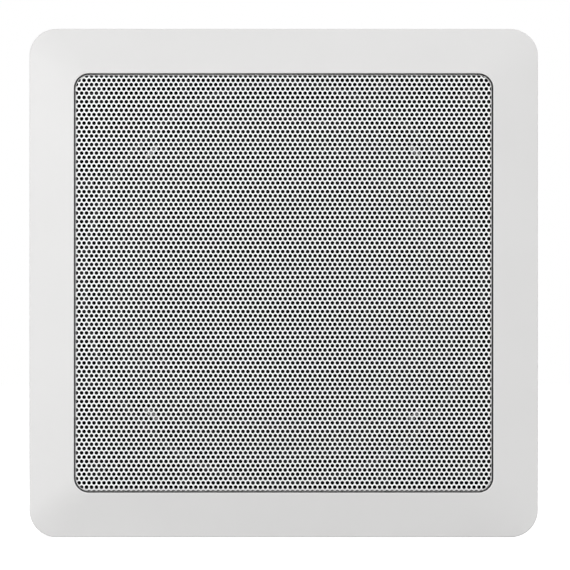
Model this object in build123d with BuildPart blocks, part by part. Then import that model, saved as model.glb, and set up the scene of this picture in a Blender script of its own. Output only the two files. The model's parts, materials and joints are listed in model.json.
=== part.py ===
from build123d import *
import math
import os

# In wall speaker. X is right, Z is up, Y goes into the wall; the wall face is the plane y = 0.
# All sizes are in millimetres. A depth is a place along Y; the room side of the wall is negative.

# Bezel: the white wall frame
bezel_size = 205.0
bezel_corner = 10.9
bezel_edge_height = 2.8
bezel_lip_height = 4.8
bezel_edge_round = 0.4
lip_land = 0.7
lip_round = 0.3
bezel_width = 18.0
opening_corner = 6.0
recess_wall = 2.5
recess_depth = 10.0
back_plate_thick = 2.0
core_depth = 1.4
core_margin = 3.0
core_rib_width = 1.6
core_ribs_per_side = 6

# Grille: perforated steel tray, each row of holes standing as one slot of the same open area
sheet = 0.5
grille_gap = 0.55
grille_below_lip = 0.4
grille_bend_radius = 1.3
hole_pitch = 2.002
row_pitch = 1.726
hole_diameter = 1.45
plain_border = 0.6

# Baffle: black tray that carries the driver
baffle_gap = 0.3
baffle_rim_wall = 1.5
baffle_rim_height = 3.5
baffle_floor_thick = 3.0
driver_hole_gap = 1.0
driver_boss_wall = 2.0
driver_boss_height = 6.0
baffle_screw_inset = 3.2
baffle_screw_offset = 40.0
baffle_screw_diameter = 3.0
baffle_screw_head_diameter = 5.5
baffle_screw_head_height = 2.0
baffle_boss_wall = 2.0
baffle_boss_height = 6.0
thread_fit = 0.02
screw_clearance = 0.2
boss_clearance = 0.5

# Driver chassis, gaskets and screws
flange_side_gap = 0.7
flange_thick = 1.0
mounting_gasket_thick = 1.0
gasket_edge_margin = 0.6
screw_edge_margin = 6.0
driver_screw_count = 4
driver_screw_diameter = 4.0
driver_screw_head_diameter = 7.0
driver_screw_head_height = 2.4
screw_head_round = 0.8
front_gasket_width = 7.0
front_gasket_height = 2.0
front_gasket_side_height = 0.9
gasket_notch_clearance = 0.6
neck_margin = 7.4
basket_wall_taper = 3.1
basket_wall_depth = 9.0
basket_shelf_radius = 46.0
basket_shelf_depth = 31.0
basket_cup_radius = 36.0
basket_depth = 40.2
basket_bore_radius = 18.0
basket_bend = 1.5
window_count = 6
window_angle = 42.0
window_margin = 3.0
window_corner = 4.0
window_corner_share = 0.45

# Moving parts of the driver
surround_thick = 0.5
surround_neck_gap = 2.1
surround_roll_width = 8.0
surround_roll_height = 3.8
surround_inner_land = 3.2
surround_outer_land = 5.6
cone_thick = 0.8
cone_depth = 25.0
cone_curve = 2.6
cone_collar_height = 3.0
coil_inner_radius = 12.7
former_thick = 0.2
former_end = 1.0
coil_thick = 0.5
coil_height = 11.0
glue_line = 0.02
dust_cap_radius = 17.0
dust_cap_height = 6.0
dust_cap_thick = 0.6
spider_thick = 0.5
spider_wave_height = 1.2
spider_wave_count = 5
spider_land = 5.0
spider_cup_gap = 1.5
spider_collar_height = 2.0

# Motor
top_plate_radius = 40.0
plate_thick = 5.0
coil_gap = 0.5
pole_gap = 0.4
magnet_radius = 42.5
magnet_bore_radius = 20.0
magnet_thick = 15.0
magnet_edge_bevel = 1.0
yoke_radius = 38.0
yoke_edge_bevel = 1.5
pole_vent_radius = 4.0

# Terminals at the lower edge of the basket
terminal_tab_width = 26.0
rivet_window_gap = 2.8
terminal_board_thick = 1.6
terminal_board_height = 12.0
terminal_board_margin = 1.0
terminal_spacing = 14.0
tag_width = 4.8
tag_thick = 0.8
tag_length = 20.0
tag_tip_bevel = 1.2
tag_hole_diameter = 1.4
tag_hole_inset = 4.0
rivet_diameter = 2.6
rivet_head_diameter = 4.4
rivet_head_height = 0.8
rivet_head_round = 0.5

# Corner clamps that grip the wall panel from behind
clamp_inset = 8.5
clamp_names = ("top", "right", "bottom", "left")
clamp_turn = -90.0
clamp_screw_diameter = 4.0
clamp_screw_head_diameter = 8.0
clamp_screw_head_height = 2.8
clamp_screw_tip = 1.0
drive_width = 1.1
drive_share = 0.62
drive_sink = 1.2
insert_wall = 1.5
insert_flange_width = 1.5
insert_flange_thick = 1.2
running_clearance = 0.05
arm_hub_wall = 3.0
arm_hub_height = 11.0
arm_length = 24.0
arm_width = 10.0
arm_thick = 6.0
arm_edge_round = 0.8
arm_groove_count = 4
arm_groove_width = 1.0
arm_groove_pitch = 2.2
arm_groove_depth = 0.6
clamp_travel = 28.0
clamp_end_gap = 0.4
tower_gap = 0.5
tower_wall = 2.0
tower_cap_thick = 2.5
tower_side_gap = 0.6

# Places worked out from the sizes above: frame and grille
opening_size = bezel_size - 2 * bezel_width
lip_size = opening_size + 2 * lip_land
skirt_size = opening_size + 2 * recess_wall
skirt_corner = opening_corner + recess_wall
back_plate_rear = recess_depth + back_plate_thick
core_outer_size = bezel_size - 2 * core_margin
core_inner_size = skirt_size + 2 * core_margin
baffle_size = opening_size - 2 * baffle_gap
baffle_corner = opening_corner - baffle_gap
baffle_floor = recess_depth - baffle_floor_thick
baffle_rim = baffle_floor - baffle_rim_height
tray_size = baffle_size - 2 * baffle_rim_wall
tray_corner = baffle_corner - baffle_rim_wall
grille_size = opening_size - 2 * grille_gap
grille_corner = opening_corner - grille_gap
grille_front = grille_below_lip - bezel_lip_height
perforated_size = grille_size - 2 * (grille_bend_radius + plain_border)
slot_width = math.pi / 4 * hole_diameter**2 / hole_pitch
row_count = int(perforated_size / row_pitch)
baffle_screw_reach = tray_size / 2 - baffle_screw_inset
baffle_screw_end = back_plate_rear + baffle_boss_height

# Driver
flange_radius = tray_size / 2 - flange_side_gap
screw_circle_radius = flange_radius - screw_edge_margin
basket_neck_radius = screw_circle_radius - neck_margin
basket_wall_radius = basket_neck_radius - basket_wall_taper
flange_rear = baffle_floor - mounting_gasket_thick
flange_front = flange_rear - flange_thick
driver_hole_radius = basket_neck_radius + flange_thick / 2 + driver_hole_gap
driver_screw_end = recess_depth + driver_boss_height
driver_boss_radius = driver_screw_diameter / 2 + driver_boss_wall
back_plate_hole_radius = screw_circle_radius + driver_boss_radius + boss_clearance
front_gasket_inner_radius = screw_circle_radius - front_gasket_width / 2
front_gasket_outer_radius = screw_circle_radius + front_gasket_width / 2
shelf_front = flange_rear + basket_shelf_depth
shelf_rear = shelf_front + flange_thick
top_plate_front = flange_rear + basket_depth
top_plate_rear = top_plate_front + plate_thick
magnet_rear = top_plate_rear + magnet_thick
yoke_rear = magnet_rear + plate_thick
pole_radius = coil_inner_radius - pole_gap
former_radius = coil_inner_radius + former_thick
coil_radius = former_radius + glue_line + coil_thick
top_plate_bore_radius = coil_radius + coil_gap
coil_front = top_plate_front + plate_thick / 2 - coil_height / 2
coil_rear = coil_front + coil_height
collar_radius = former_radius + glue_line + cone_thick / 2
surround_roll_outer_radius = basket_neck_radius - surround_neck_gap
surround_roll_inner_radius = surround_roll_outer_radius - surround_roll_width
cone_rim_radius = surround_roll_inner_radius - surround_inner_land
cone_neck = flange_front + cone_depth
spider_collar_radius = former_radius + glue_line + spider_thick / 2
spider_outer_radius = basket_cup_radius + flange_thick + basket_bend + spider_land
spider_wave_radius = basket_cup_radius - spider_cup_gap
window_inner = basket_shelf_radius + window_margin
window_outer = basket_wall_radius - window_margin
window_round = min(window_corner, window_corner_share * (window_outer - window_inner))

# Terminals
rivet_reach = window_inner + rivet_head_diameter / 2 + rivet_window_gap
terminal_tab_reach = rivet_reach + terminal_board_height / 2
board_rear = shelf_rear + terminal_board_thick
tag_rear = board_rear + tag_thick
rivet_places = [(-terminal_spacing / 2, -rivet_reach), (terminal_spacing / 2, -rivet_reach)]

# Clamps
clamp_reach = opening_size / 2 - clamp_inset
insert_bore_radius = clamp_screw_diameter / 2 + running_clearance
insert_radius = insert_bore_radius + insert_wall
hub_bore_radius = insert_radius + running_clearance
arm_hub_radius = hub_bore_radius + arm_hub_wall
arm_front = back_plate_rear + clamp_end_gap + clamp_travel
arm_rear = arm_front + arm_hub_height
insert_rear = arm_rear + insert_flange_thick
tower_cap_front = insert_rear + clamp_end_gap
tower_rear = tower_cap_front + tower_cap_thick
tower_inner_radius = arm_hub_radius + tower_gap
tower_radius = tower_inner_radius + tower_wall
tower_side = arm_width / 2 + tower_side_gap
clamp_screw_end = tower_rear + clamp_screw_tip

os.makedirs("parts", exist_ok=True)


def at_depth(depth, turn=0.0):
    """The plane along the wall at this depth, turned about Y: unturned its x is X and its y is Z."""
    angle = math.radians(turn)
    return Plane(
        origin=(0, depth, 0),
        x_dir=(math.cos(angle), 0, math.sin(angle)),
        z_dir=(0, -1, 0),
    )


def four_sides(offset, reach):
    """Two places on each side of the frame, this far from its middle and from the side's middle."""
    places = []
    for side in (-1, 1):
        for end in (-1, 1):
            places.append((end * offset, side * reach))
            places.append((side * reach, end * offset))
    return places


def diagonal_places():
    """The places of the driver screws."""
    return PolarLocations(screw_circle_radius, driver_screw_count, start_angle=180 / driver_screw_count)


def save(builder, name):
    """Names a finished sub-part and writes it out."""
    builder.part.label = name
    export_step(builder.part, "parts/" + name + ".step")


# Bezel
with BuildPart() as bezel:
    with BuildSketch(at_depth(0)):
        RectangleRounded(bezel_size, bezel_size, bezel_corner)
    extrude(amount=bezel_edge_height)
    with BuildSketch(at_depth(-bezel_edge_height)):
        RectangleRounded(bezel_size, bezel_size, bezel_corner)
    with BuildSketch(at_depth(-bezel_lip_height)):
        RectangleRounded(lip_size, lip_size, opening_corner + lip_land)
    loft(ruled=True)
    slope_foot = bezel.edges().filter_by_position(Axis.Y, -bezel_edge_height, -bezel_edge_height)
    fillet(slope_foot, radius=bezel_edge_round)
    with BuildSketch(at_depth(0)):
        RectangleRounded(skirt_size, skirt_size, skirt_corner)
    extrude(amount=-back_plate_rear)
    with BuildSketch(at_depth(-bezel_lip_height)):
        RectangleRounded(opening_size, opening_size, opening_corner)
    extrude(amount=-(bezel_lip_height + recess_depth), mode=Mode.SUBTRACT)
    lip_edges = bezel.edges().filter_by_position(Axis.Y, -bezel_lip_height, -bezel_lip_height)
    fillet(lip_edges, radius=lip_round)
    with BuildSketch(at_depth(0)):
        RectangleRounded(core_outer_size, core_outer_size, bezel_corner - core_margin)
        RectangleRounded(core_inner_size, core_inner_size, skirt_corner + core_margin, mode=Mode.SUBTRACT)
        rib_spacing = skirt_size / core_ribs_per_side
        with GridLocations(rib_spacing, rib_spacing, core_ribs_per_side, 1):
            Rectangle(core_rib_width, bezel_size, mode=Mode.SUBTRACT)
        with GridLocations(rib_spacing, rib_spacing, 1, core_ribs_per_side):
            Rectangle(bezel_size, core_rib_width, mode=Mode.SUBTRACT)
    extrude(amount=core_depth, mode=Mode.SUBTRACT)
    with BuildSketch(at_depth(recess_depth)):
        Circle(back_plate_hole_radius)
    extrude(amount=-back_plate_thick, mode=Mode.SUBTRACT)
    with BuildSketch(at_depth(back_plate_rear)):
        with Locations(*four_sides(baffle_screw_offset, baffle_screw_reach)):
            Circle(baffle_screw_diameter / 2 + baffle_boss_wall)
    extrude(amount=-baffle_boss_height)
    with BuildSketch(at_depth(recess_depth)):
        with Locations(*four_sides(baffle_screw_offset, baffle_screw_reach)):
            Circle(baffle_screw_diameter / 2 + thread_fit)
    extrude(amount=-(back_plate_thick + baffle_boss_height), mode=Mode.SUBTRACT)
    for index in range(len(clamp_names)):
        with BuildSketch(at_depth(back_plate_rear, index * clamp_turn)):
            with Locations((clamp_reach, clamp_reach)):
                Circle(tower_radius)
                Circle(tower_inner_radius, mode=Mode.SUBTRACT)
            with Locations((clamp_reach + tower_side, clamp_reach)):
                Rectangle(bezel_size, bezel_size, align=(Align.MAX, Align.MIN), mode=Mode.SUBTRACT)
            with Locations((clamp_reach, clamp_reach - tower_side)):
                Rectangle(bezel_size, bezel_size, align=(Align.MAX, Align.MIN), mode=Mode.SUBTRACT)
        extrude(amount=-(tower_cap_front - back_plate_rear))
        with BuildSketch(at_depth(tower_cap_front, index * clamp_turn)):
            with Locations((clamp_reach, clamp_reach)):
                Circle(tower_radius)
        extrude(amount=-tower_cap_thick)
        with BuildSketch(at_depth(recess_depth, index * clamp_turn)):
            with Locations((clamp_reach, clamp_reach)):
                Circle(clamp_screw_diameter / 2 + screw_clearance)
        extrude(amount=-(tower_rear - recess_depth), mode=Mode.SUBTRACT)
save(bezel, "bezel")

# Grille
with BuildPart() as grille:
    with BuildSketch(at_depth(grille_front)):
        RectangleRounded(grille_size, grille_size, grille_corner)
    extrude(amount=-(baffle_rim - grille_front))
    fillet(grille.edges().group_by(Axis.Y)[0], radius=grille_bend_radius)
    offset(amount=-sheet, openings=grille.faces().sort_by(Axis.Y)[-1])
    with BuildSketch(at_depth(grille_front)):
        with GridLocations(perforated_size, row_pitch, 1, row_count):
            Rectangle(perforated_size, slot_width)
    extrude(amount=-sheet, mode=Mode.SUBTRACT)
save(grille, "grille")

# Baffle
with BuildPart() as baffle:
    with BuildSketch(at_depth(baffle_rim)):
        RectangleRounded(baffle_size, baffle_size, baffle_corner)
    extrude(amount=-(recess_depth - baffle_rim))
    with BuildSketch(at_depth(baffle_rim)):
        RectangleRounded(tray_size, tray_size, tray_corner)
    extrude(amount=-baffle_rim_height, mode=Mode.SUBTRACT)
    with BuildSketch(at_depth(recess_depth)):
        with diagonal_places():
            Circle(driver_boss_radius)
    extrude(amount=-driver_boss_height)
    with BuildSketch(at_depth(baffle_floor)):
        Circle(driver_hole_radius)
        with diagonal_places():
            Circle(driver_screw_diameter / 2 + thread_fit)
    extrude(amount=-(driver_screw_end - baffle_floor), mode=Mode.SUBTRACT)
    with BuildSketch(at_depth(baffle_floor)):
        with Locations(*four_sides(baffle_screw_offset, baffle_screw_reach)):
            Circle(baffle_screw_diameter / 2 + screw_clearance)
        with GridLocations(2 * clamp_reach, 2 * clamp_reach, 2, 2):
            Circle(clamp_screw_diameter / 2 + screw_clearance)
    extrude(amount=-baffle_floor_thick, mode=Mode.SUBTRACT)
save(baffle, "baffle")

# Screws that hold the baffle in the bezel
with BuildPart() as baffle_screws:
    with BuildSketch(at_depth(baffle_floor)):
        with Locations(*four_sides(baffle_screw_offset, baffle_screw_reach)):
            Circle(baffle_screw_head_diameter / 2)
    extrude(amount=baffle_screw_head_height)
    fillet(baffle_screws.edges().group_by(Axis.Y)[0], radius=screw_head_round)
    with BuildSketch(at_depth(baffle_floor)):
        with Locations(*four_sides(baffle_screw_offset, baffle_screw_reach)):
            Circle(baffle_screw_diameter / 2)
    extrude(amount=-(baffle_screw_end - baffle_floor))
    with BuildSketch(at_depth(baffle_floor - baffle_screw_head_height)):
        with Locations(*four_sides(baffle_screw_offset, baffle_screw_reach)):
            Rectangle(drive_share * baffle_screw_head_diameter, drive_width)
            Rectangle(drive_width, drive_share * baffle_screw_head_diameter)
    extrude(amount=-drive_sink, mode=Mode.SUBTRACT)
save(baffle_screws, "baffle_screws")

# Gasket between baffle and driver
with BuildPart() as mounting_gasket:
    with BuildSketch(at_depth(flange_rear)):
        Circle(flange_radius - gasket_edge_margin)
        Circle(driver_hole_radius + gasket_edge_margin, mode=Mode.SUBTRACT)
        with diagonal_places():
            Circle(driver_screw_diameter / 2 + screw_clearance, mode=Mode.SUBTRACT)
    extrude(amount=-mounting_gasket_thick)
save(mounting_gasket, "mounting_gasket")

# Basket
with BuildPart() as basket:
    half = flange_thick / 2
    with BuildSketch(Plane.XY):
        with BuildLine():
            FilletPolyline(
                (flange_radius, flange_rear - half),
                (basket_neck_radius, flange_rear - half),
                (basket_wall_radius, flange_rear + basket_wall_depth),
                (basket_shelf_radius, shelf_front + half),
                (basket_cup_radius + half, shelf_front + half),
                (basket_cup_radius, top_plate_front - half),
                (basket_bore_radius, top_plate_front - half),
                radius=basket_bend,
            )
        trace(line_width=flange_thick)
    revolve(axis=Axis.Y)
    for index in range(window_count):
        with BuildSketch(at_depth(flange_rear, (index + 0.5) * 360 / window_count)):
            with BuildLine():
                outer = CenterArc((0, 0), window_outer, -window_angle / 2, window_angle)
                inner = CenterArc((0, 0), window_inner, -window_angle / 2, window_angle)
                Line(inner @ 0, outer @ 0)
                Line(inner @ 1, outer @ 1)
            window = make_face()
            fillet(window.vertices(), radius=window_round)
        extrude(amount=-basket_shelf_depth, mode=Mode.SUBTRACT)
    with BuildSketch(at_depth(flange_front)):
        with diagonal_places():
            Circle(driver_screw_diameter / 2 + screw_clearance)
    extrude(amount=-flange_thick, mode=Mode.SUBTRACT)
    with BuildSketch(at_depth(shelf_front)):
        with Locations((0, -basket_shelf_radius + basket_bend)):
            tab_length = terminal_tab_reach - basket_shelf_radius + basket_bend
            Rectangle(terminal_tab_width, tab_length, align=(Align.CENTER, Align.MAX))
    extrude(amount=-flange_thick)
    with BuildSketch(at_depth(shelf_front)):
        with Locations(*rivet_places):
            Circle(rivet_diameter / 2 + thread_fit)
    extrude(amount=-flange_thick, mode=Mode.SUBTRACT)
save(basket, "basket")

# Screws that hold the driver on the baffle
with BuildPart() as driver_screws:
    with BuildSketch(at_depth(flange_front)):
        with diagonal_places():
            Circle(driver_screw_head_diameter / 2)
    extrude(amount=driver_screw_head_height)
    fillet(driver_screws.edges().group_by(Axis.Y)[0], radius=screw_head_round)
    with BuildSketch(at_depth(flange_front)):
        with diagonal_places():
            Circle(driver_screw_diameter / 2)
    extrude(amount=-(driver_screw_end - flange_front))
    with BuildSketch(at_depth(flange_front - driver_screw_head_height)):
        with diagonal_places():
            Rectangle(drive_share * driver_screw_head_diameter, drive_width)
            Rectangle(drive_width, drive_share * driver_screw_head_diameter)
    extrude(amount=-drive_sink, mode=Mode.SUBTRACT)
save(driver_screws, "driver_screws")

# Crowned gasket on the front of the driver
with BuildPart() as front_gasket:
    side = flange_front - front_gasket_side_height
    with BuildSketch(Plane.XY):
        with BuildLine():
            crown = ThreePointArc(
                (front_gasket_inner_radius, side),
                (screw_circle_radius, flange_front - front_gasket_height),
                (front_gasket_outer_radius, side),
            )
            Polyline(
                crown @ 1,
                (front_gasket_outer_radius, flange_front),
                (front_gasket_inner_radius, flange_front),
                crown @ 0,
            )
        make_face()
    revolve(axis=Axis.Y)
    with BuildSketch(at_depth(flange_front)):
        with diagonal_places():
            Circle(driver_screw_head_diameter / 2 + gasket_notch_clearance)
    extrude(amount=front_gasket_height, mode=Mode.SUBTRACT)
save(front_gasket, "front_gasket")

# Surround
with BuildPart() as surround:
    half = surround_thick / 2
    land = flange_front - half
    with BuildSketch(Plane.XY):
        with BuildLine():
            Line((cone_rim_radius, land), (surround_roll_inner_radius, land))
            ThreePointArc(
                (surround_roll_inner_radius, land),
                (surround_roll_inner_radius + surround_roll_width / 2, land - surround_roll_height),
                (surround_roll_outer_radius, land),
            )
            outer_land = surround_roll_outer_radius + surround_outer_land
            Line((surround_roll_outer_radius, land), (outer_land, land))
        trace(line_width=surround_thick)
    revolve(axis=Axis.Y)
save(surround, "surround")

# Cone
with BuildPart() as cone:
    rim = flange_front + cone_thick / 2
    with BuildSketch(Plane.XY):
        with BuildLine():
            Line((surround_roll_inner_radius, rim), (cone_rim_radius, rim))
            SagittaArc((cone_rim_radius, rim), (collar_radius, cone_neck), cone_curve)
            Line((collar_radius, cone_neck), (collar_radius, cone_neck + cone_collar_height))
        trace(line_width=cone_thick)
    revolve(axis=Axis.Y)
save(cone, "cone")


def flare_front(radius):
    """The depth of the cone's front face at this radius."""
    run = cone_rim_radius - collar_radius
    rise = cone_neck - flange_front - cone_thick / 2
    chord = math.hypot(run, rise)
    flare_radius = (chord**2 / 4 + cone_curve**2) / (2 * cone_curve)
    center_radius = (cone_rim_radius + collar_radius) / 2 + (flare_radius - cone_curve) * rise / chord
    center_depth = cone_neck - rise / 2 + (flare_radius - cone_curve) * run / chord
    reach = flare_radius + cone_thick / 2
    return center_depth - math.sqrt(reach**2 - (radius - center_radius) ** 2)


# Dust cap
with BuildPart() as dust_cap:
    cap_edge = flare_front(dust_cap_radius) - dust_cap_thick / 2 - glue_line
    with BuildSketch(Plane.XY):
        with BuildLine():
            TangentArc((0, cap_edge - dust_cap_height), (dust_cap_radius, cap_edge), tangent=(1, 0))
        trace(line_width=dust_cap_thick)
    revolve(axis=Axis.Y)
save(dust_cap, "dust_cap")

# Spider
with BuildPart() as spider:
    land = shelf_front - spider_thick / 2
    wave = (spider_wave_radius - spider_collar_radius) / (2 * spider_wave_count)
    with BuildSketch(Plane.XY):
        with BuildLine():
            Line((spider_collar_radius, land - spider_collar_height), (spider_collar_radius, land))
            for index in range(2 * spider_wave_count):
                start = spider_collar_radius + index * wave
                height = spider_wave_height * (-1) ** index
                SagittaArc((start, land), (start + wave, land), height)
            Line((spider_wave_radius, land), (spider_outer_radius, land))
        trace(line_width=spider_thick)
    revolve(axis=Axis.Y)
save(spider, "spider")

# Voice coil former
with BuildPart() as voice_coil_former:
    with BuildSketch(at_depth(cone_neck)):
        Circle(former_radius)
        Circle(coil_inner_radius, mode=Mode.SUBTRACT)
    extrude(amount=-(coil_rear + former_end - cone_neck))
save(voice_coil_former, "voice_coil_former")

# Voice coil
with BuildPart() as voice_coil:
    with BuildSketch(at_depth(coil_front)):
        Circle(coil_radius)
        Circle(former_radius + glue_line, mode=Mode.SUBTRACT)
    extrude(amount=-coil_height)
save(voice_coil, "voice_coil")

# Top plate
with BuildPart() as top_plate:
    with BuildSketch(at_depth(top_plate_front)):
        Circle(top_plate_radius)
        Circle(top_plate_bore_radius, mode=Mode.SUBTRACT)
    extrude(amount=-plate_thick)
save(top_plate, "top_plate")

# Magnet
with BuildPart() as magnet:
    with BuildSketch(at_depth(top_plate_rear)):
        Circle(magnet_radius)
        Circle(magnet_bore_radius, mode=Mode.SUBTRACT)
    extrude(amount=-magnet_thick)
    rims = magnet.edges().filter_by(GeomType.CIRCLE).sort_by(SortBy.RADIUS)[-2:]
    chamfer(rims, length=magnet_edge_bevel)
save(magnet, "magnet")

# Yoke: back plate and pole in one piece
with BuildPart() as yoke:
    with BuildSketch(Plane.XY):
        with BuildLine():
            Polyline(
                (pole_vent_radius, top_plate_front),
                (pole_radius, top_plate_front),
                (pole_radius, magnet_rear),
                (yoke_radius, magnet_rear),
                (yoke_radius, yoke_rear - yoke_edge_bevel),
                (yoke_radius - yoke_edge_bevel, yoke_rear),
                (pole_vent_radius, yoke_rear),
                close=True,
            )
        make_face()
    revolve(axis=Axis.Y)
save(yoke, "yoke")

# Terminal board
with BuildPart() as terminal_board:
    with BuildSketch(at_depth(shelf_rear)):
        with Locations((0, -rivet_reach)):
            Rectangle(terminal_tab_width - 2 * terminal_board_margin, terminal_board_height)
        with Locations(*rivet_places):
            Circle(rivet_diameter / 2 + thread_fit, mode=Mode.SUBTRACT)
    extrude(amount=-terminal_board_thick)
save(terminal_board, "terminal_board")

# Terminal tags
for name, place in zip(("terminal_tag_negative", "terminal_tag_positive"), rivet_places):
    with BuildPart() as terminal_tag:
        tag_top = place[1] + tag_width / 2
        with BuildSketch(at_depth(board_rear)):
            with Locations((place[0], tag_top)):
                tag = Rectangle(tag_width, tag_length, align=(Align.CENTER, Align.MAX))
            chamfer(tag.vertices().group_by(Axis.Y)[0], length=tag_tip_bevel)
            with Locations(place):
                Circle(rivet_diameter / 2 + thread_fit, mode=Mode.SUBTRACT)
            with Locations((place[0], tag_top - tag_length + tag_hole_inset)):
                Circle(tag_hole_diameter / 2, mode=Mode.SUBTRACT)
        extrude(amount=-tag_thick)
    save(terminal_tag, name)

# Rivets through tags, board and basket
with BuildPart() as terminal_rivets:
    with BuildSketch(at_depth(shelf_front)):
        with Locations(*rivet_places):
            Circle(rivet_diameter / 2)
    extrude(amount=-(tag_rear - shelf_front))
    with BuildSketch(at_depth(shelf_front)):
        with Locations(*rivet_places):
            Circle(rivet_head_diameter / 2)
    extrude(amount=rivet_head_height)
    with BuildSketch(at_depth(tag_rear)):
        with Locations(*rivet_places):
            Circle(rivet_head_diameter / 2)
    extrude(amount=-rivet_head_height)
    fillet(terminal_rivets.edges().group_by(Axis.Y)[0], radius=rivet_head_round)
    fillet(terminal_rivets.edges().group_by(Axis.Y)[-1], radius=rivet_head_round)
save(terminal_rivets, "terminal_rivets")

# Corner clamps: screw, threaded insert and swinging arm in each corner
for index, name in enumerate(clamp_names):
    turn = index * clamp_turn
    with BuildPart() as clamp_screw:
        with BuildSketch(at_depth(baffle_floor, turn)):
            with Locations((clamp_reach, clamp_reach)):
                Circle(clamp_screw_head_diameter / 2)
        extrude(amount=clamp_screw_head_height)
        fillet(clamp_screw.edges().group_by(Axis.Y)[0], radius=screw_head_round)
        with BuildSketch(at_depth(baffle_floor, turn)):
            with Locations((clamp_reach, clamp_reach)):
                Circle(clamp_screw_diameter / 2)
        extrude(amount=-(clamp_screw_end - baffle_floor))
        chamfer(clamp_screw.edges().group_by(Axis.Y)[-1], length=clamp_screw_tip / 2)
        with BuildSketch(at_depth(baffle_floor - clamp_screw_head_height, turn)):
            with Locations((clamp_reach, clamp_reach)):
                Rectangle(drive_share * clamp_screw_head_diameter, drive_width)
                Rectangle(drive_width, drive_share * clamp_screw_head_diameter)
        extrude(amount=-drive_sink, mode=Mode.SUBTRACT)
    save(clamp_screw, "clamp_screw_" + name)

    with BuildPart() as clamp_insert:
        with BuildSketch(at_depth(arm_front, turn)):
            with Locations((clamp_reach, clamp_reach)):
                Circle(insert_radius)
        extrude(amount=-arm_hub_height)
        with BuildSketch(at_depth(arm_rear, turn)):
            with Locations((clamp_reach, clamp_reach)):
                Circle(insert_radius + insert_flange_width)
        extrude(amount=-insert_flange_thick)
        with BuildSketch(at_depth(arm_front, turn)):
            with Locations((clamp_reach, clamp_reach)):
                Circle(insert_bore_radius)
        extrude(amount=-(insert_rear - arm_front), mode=Mode.SUBTRACT)
    save(clamp_insert, "clamp_insert_" + name)

    with BuildPart() as clamp_arm:
        bar = arm_length - arm_width / 2
        with BuildSketch(at_depth(arm_front, turn)):
            with Locations((clamp_reach - bar / 2, clamp_reach)):
                SlotCenterToCenter(bar, arm_width)
        extrude(amount=-arm_thick)
        fillet(clamp_arm.edges().group_by(Axis.Y)[-1], radius=arm_edge_round)
        grip = arm_groove_count * arm_groove_pitch
        with BuildSketch(at_depth(arm_front, turn)):
            with Locations((clamp_reach - arm_length + arm_width / 2 + grip / 2, clamp_reach)):
                with GridLocations(arm_groove_pitch, arm_width, arm_groove_count, 1):
                    Rectangle(arm_groove_width, arm_width)
        extrude(amount=-arm_groove_depth, mode=Mode.SUBTRACT)
        with BuildSketch(at_depth(arm_front, turn)):
            with Locations((clamp_reach, clamp_reach)):
                Circle(arm_hub_radius)
        extrude(amount=-arm_hub_height)
        with BuildSketch(at_depth(arm_front, turn)):
            with Locations((clamp_reach, clamp_reach)):
                Circle(hub_bore_radius)
        extrude(amount=-arm_hub_height, mode=Mode.SUBTRACT)
    save(clamp_arm, "clamp_arm_" + name)
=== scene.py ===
import json
import math

import bpy
import numpy as np
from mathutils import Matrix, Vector, noise
from mathutils.geometry import delaunay_2d_cdt


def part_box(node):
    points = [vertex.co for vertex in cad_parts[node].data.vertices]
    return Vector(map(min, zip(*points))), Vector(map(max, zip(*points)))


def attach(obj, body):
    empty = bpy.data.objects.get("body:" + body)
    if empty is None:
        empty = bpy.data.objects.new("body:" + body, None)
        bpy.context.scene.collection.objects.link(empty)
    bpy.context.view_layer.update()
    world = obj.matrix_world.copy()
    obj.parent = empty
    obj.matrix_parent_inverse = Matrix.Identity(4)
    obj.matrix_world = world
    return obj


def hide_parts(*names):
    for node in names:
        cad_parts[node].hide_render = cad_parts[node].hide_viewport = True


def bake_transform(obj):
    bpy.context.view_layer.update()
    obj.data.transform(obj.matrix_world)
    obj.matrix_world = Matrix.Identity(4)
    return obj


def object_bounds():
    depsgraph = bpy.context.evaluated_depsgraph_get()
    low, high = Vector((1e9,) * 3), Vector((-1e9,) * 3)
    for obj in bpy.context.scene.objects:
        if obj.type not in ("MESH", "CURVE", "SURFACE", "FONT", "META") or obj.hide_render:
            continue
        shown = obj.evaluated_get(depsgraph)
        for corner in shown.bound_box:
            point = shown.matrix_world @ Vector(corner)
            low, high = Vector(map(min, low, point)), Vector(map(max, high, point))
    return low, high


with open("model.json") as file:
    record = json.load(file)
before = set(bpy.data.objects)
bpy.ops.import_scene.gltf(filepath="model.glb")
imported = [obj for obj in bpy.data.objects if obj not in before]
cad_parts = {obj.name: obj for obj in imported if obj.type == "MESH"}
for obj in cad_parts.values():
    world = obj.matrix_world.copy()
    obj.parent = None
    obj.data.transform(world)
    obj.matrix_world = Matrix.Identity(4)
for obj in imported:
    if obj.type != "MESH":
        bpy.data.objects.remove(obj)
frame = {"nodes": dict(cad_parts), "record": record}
cad_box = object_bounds()

# In wall speaker. X is right, Z is up and Y goes into the wall. Sizes are in millimetres up to the
# point where a mesh is made, and mm turns them into metres.
mm = 0.001

# Photograph: the picture's side, and where the bezel lies in it
photo_pixels = 570
bezel_pixels = 508.65
bezel_centre_pixel = (283.68, 283.0)
camera_distance = 4000.0
camera_reach = 100000.0
sensor_width = 36.0

# Meshes: how near two points count as one, the least length to divide by, and up to which angle
# in degrees a surface is smooth
merge_distance = 1e-6
smallest_length = 1e-9
metal_smooth_angle = 40
soft_smooth_angle = 50
quarter_turn = math.radians(90)

# Perforated steel of the grille
sheet = 0.5
bend_radius = 1.3
grille_corner = 5.45
hole_pitch = 2.002
row_pitch = 1.726
hole_diameter = 1.56
hole_sides = 12
hole_origin = (0.623, 0.579)
hole_edge_margin = 0.125
perforation_past_bend = 0.9
# Painted shade: the share of the sheet's depth inside the holes on the bend past which their walls are dark
bend_hole_shade_start = 0.4
bend_steps = 5
corner_steps = 10
grille_bands = 4
rim_tolerance = 0.001
neutral_radius = bend_radius - sheet / 2
perforation_end = neutral_radius * quarter_turn + perforation_past_bend

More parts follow.
